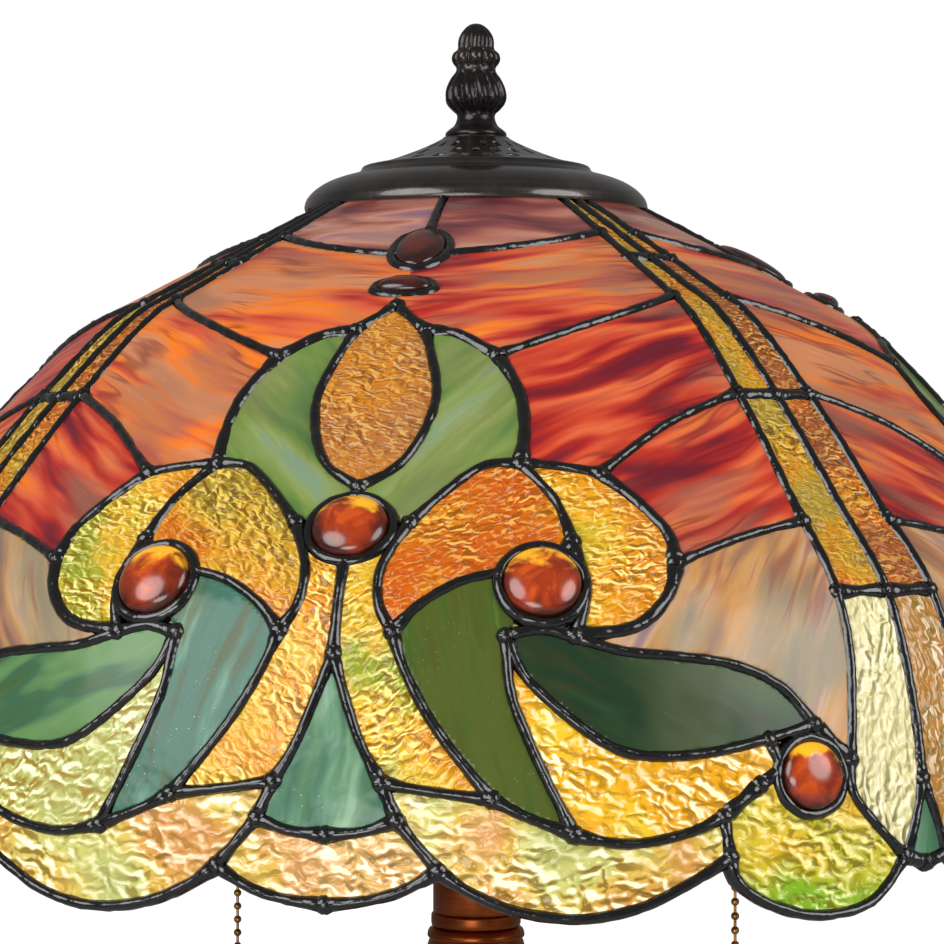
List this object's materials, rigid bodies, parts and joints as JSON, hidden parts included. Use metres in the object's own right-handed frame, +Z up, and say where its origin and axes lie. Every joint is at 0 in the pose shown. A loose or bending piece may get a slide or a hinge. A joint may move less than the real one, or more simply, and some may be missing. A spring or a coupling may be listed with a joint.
{
  "type": "stained glass table lamp",
  "caption": "Table lamp with a domed leaded glass shade, a vented cap, a finial and two bead pull chains on a turned bronze stand.",
  "frame": {"origin": "centre of the foot on the table, midway across the lamp", "axes": "+Z up through the column; the front is -Y and +X is to the right of someone facing the front"},
  "size_m": [0.4076, 0.4076, 0.5846],
  "materials": {
    "felt": "matt wool felt",
    "bronze": "antique copper bronze over cast metal, satin, with fine turned lines",
    "dark_bronze": "near-black bronze, satin, rubbed at the edges",
    "steel": "plain steel",
    "bushing": "matt black",
    "brass": "plain brass, slightly aged",
    "porcelain": "unglazed porcelain",
    "bulb_glass": "frosted warm white, unlit",
    "bulb_metal": "rolled bulb cap",
    "lead": "solder beads with a black patina, glossy and wrinkled",
    "top_glass": "streaky pink, mauve and orange glass, glossy",
    "sunset_glass": "streaky red and orange glass with mauve wisps, glossy",
    "mauve_glass": "streaky tan and mauve glass, glossy",
    "green_glass": "cloudy green glass with olive streaks, glossy",
    "teal_glass": "seedy blue-green glass with fine bubbles",
    "amber_glass": "amber ripple glass",
    "gold_glass": "gold ripple glass",
    "pale_glass": "pale cream and peach ripple glass",
    "clear_glass": "pale clear ripple glass",
    "jewel": "pressed orange-red glass cabochons, polished",
    "dark_jewel": "dark red pressed glass, polished"
  },
  "bodies": {
    "stand": {"felt_pad": "felt", "base_casting": "bronze", "base_weight": "steel", "base_washer": "steel", "rod_nuts": "brass", "cord_bushing": "bushing", "tie_rod": "brass", "column_foot_ring": "bronze", "column_vase": "bronze", "column_middle_ring": "bronze", "column_shaft": "bronze", "column_top_ring": "bronze", "neck_pipe": "bronze", "cluster_body": "bronze", "cluster_cover": "bronze", "socket_arms": "brass", "socket_caps": "brass", "socket_shells": "brass", "socket_cores": "porcelain", "screw_shells": "brass", "chain_guides": "brass", "shade_wheel": "brass"},
    "shade": {"vented_cap": "dark_bronze", "lead_panel_1": "lead", "lead_panel_2": "lead", "lead_panel_3": "lead", "lead_panel_4": "lead", "top_glass": "top_glass", "sunset_glass": "sunset_glass", "mauve_glass": "mauve_glass", "lobe_glass": "green_glass", "vesica_glass": "amber_glass", "curl_glass": "amber_glass", "crescent_glass": "gold_glass", "vee_glass": "gold_glass", "triangle_glass": "teal_glass", "blade_glass": "teal_glass", "leaf_glass": "green_glass", "gold_glass": "gold_glass", "scallop_glass": "pale_glass", "rim_lobe_glass": "gold_glass", "strip_glass": "amber_glass", "strip_foot_glass": "clear_glass", "corner_glass": "teal_glass", "centre_cabochons": "jewel", "side_cabochons": "jewel", "rim_cabochons": "jewel", "top_jewels": "dark_jewel"},
    "finial": {"finial": "dark_bronze"},
    "bulb_left": {"bulb_glass_left": "bulb_glass", "bulb_cap_left": "bulb_metal"},
    "bulb_right": {"bulb_glass_right": "bulb_glass", "bulb_cap_right": "bulb_metal"},
    "switch_left": {"switch_drum_left": "brass"},
    "switch_right": {"switch_drum_right": "brass"},
    "chain_head_left": {"chain_head_left": "brass"},
    "chain_head_right": {"chain_head_right": "brass"},
    "chain_left": {"chain_left": "brass"},
    "chain_right": {"chain_right": "brass"}
  },
  "joints": [
    {"name": "shade_turn", "type": "hinge", "parent": "stand", "child": "shade", "pos_m": [0, 0, 0.5245], "axis": [0, 0, 1], "continuous": true},
    {"name": "finial_turn", "type": "hinge", "parent": "stand", "child": "finial", "pos_m": [0, 0, 0.555], "axis": [0, 0, 1], "continuous": true},
    {"name": "bulb_turn_left", "type": "hinge", "parent": "stand", "child": "bulb_left", "pos_m": [-0.05572, 0.02718, 0.41], "axis": [0, 0, 1], "continuous": true},
    {"name": "pull_left", "type": "slide", "parent": "stand", "child": "chain_head_left", "axis": [0, 0, -1], "range_m": [0, 0.0094], "stiffness_N_per_m": 400, "springref_m": -0.0005},
    {"name": "swing_left", "type": "hinge", "parent": "chain_head_left", "child": "chain_left", "pos_m": [-0.07757, 0.03783, 0.3906], "axis": [-0.8988, 0.4384, 0], "range_deg": [-12, 12]},
    {"name": "switch_left", "type": "hinge", "parent": "stand", "child": "switch_left", "pos_m": [-0.06157, 0.03003, 0.397], "axis": [0.4384, 0.8988, 0], "range_deg": [0, 90]},
    {"name": "bulb_turn_right", "type": "hinge", "parent": "stand", "child": "bulb_right", "pos_m": [0.05572, -0.02718, 0.41], "axis": [0, 0, 1], "continuous": true},
    {"name": "pull_right", "type": "slide", "parent": "stand", "child": "chain_head_right", "axis": [0, 0, -1], "range_m": [0, 0.0094], "stiffness_N_per_m": 400, "springref_m": -0.0005},
    {"name": "swing_right", "type": "hinge", "parent": "chain_head_right", "child": "chain_right", "pos_m": [0.07757, -0.03783, 0.3906], "axis": [0.8988, -0.4384, 0], "range_deg": [-12, 12]},
    {"name": "switch_right", "type": "hinge", "parent": "stand", "child": "switch_right", "pos_m": [0.06157, -0.03003, 0.397], "axis": [-0.4384, -0.8988, 0], "range_deg": [0, 90]}
  ],
  "couplings": [
    {"joint": "switch_left", "follows": "pull_left", "rad_per_m": 166.67},
    {"joint": "switch_right", "follows": "pull_right", "rad_per_m": 166.67}
  ]
}
